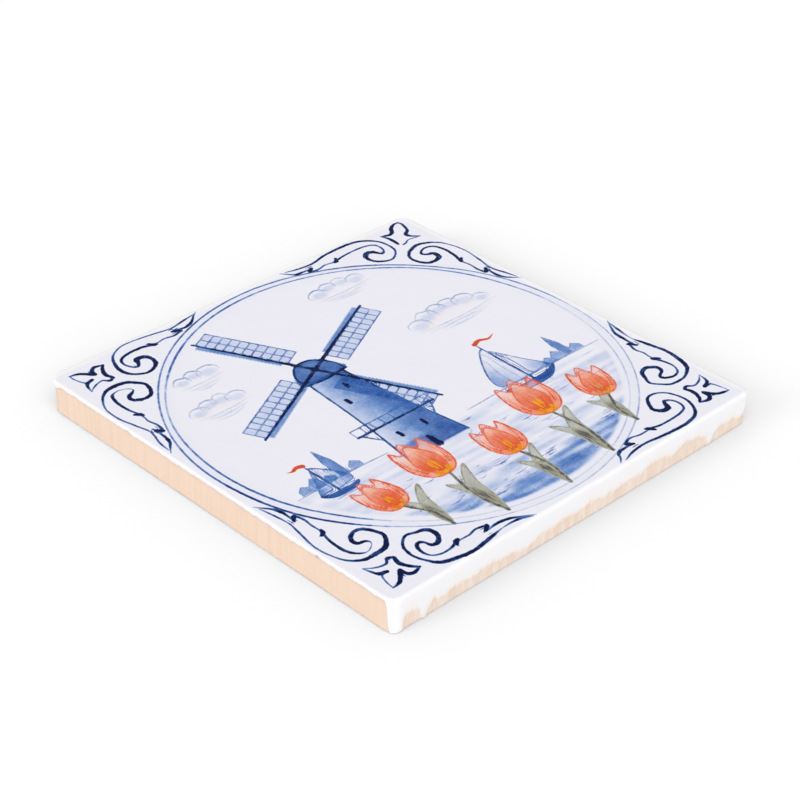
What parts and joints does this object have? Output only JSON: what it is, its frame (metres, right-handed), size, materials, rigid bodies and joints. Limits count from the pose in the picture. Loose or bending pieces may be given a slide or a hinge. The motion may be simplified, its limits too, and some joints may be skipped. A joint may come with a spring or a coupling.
{
  "type": "delft tile",
  "caption": "Square tin-glazed wall tile: a pale clay slab under a white glazed face with a painted roundel and corner scrolls, and glaze run down one side.",
  "frame": {"origin": "middle of the flat back face", "axes": "+Z out of the glazed face, -Y out of the side with the run glaze, which is the foot of the picture, +X to the picture's right"},
  "size_m": [0.13, 0.13, 0.01],
  "materials": {
    "glazed_clay": "glossy white tin glaze with blue and coral painting on the face; bare matt peach clay on the walls and back"
  },
  "bodies": {
    "root": {"tile": "glazed_clay"}
  },
  "joints": []
}
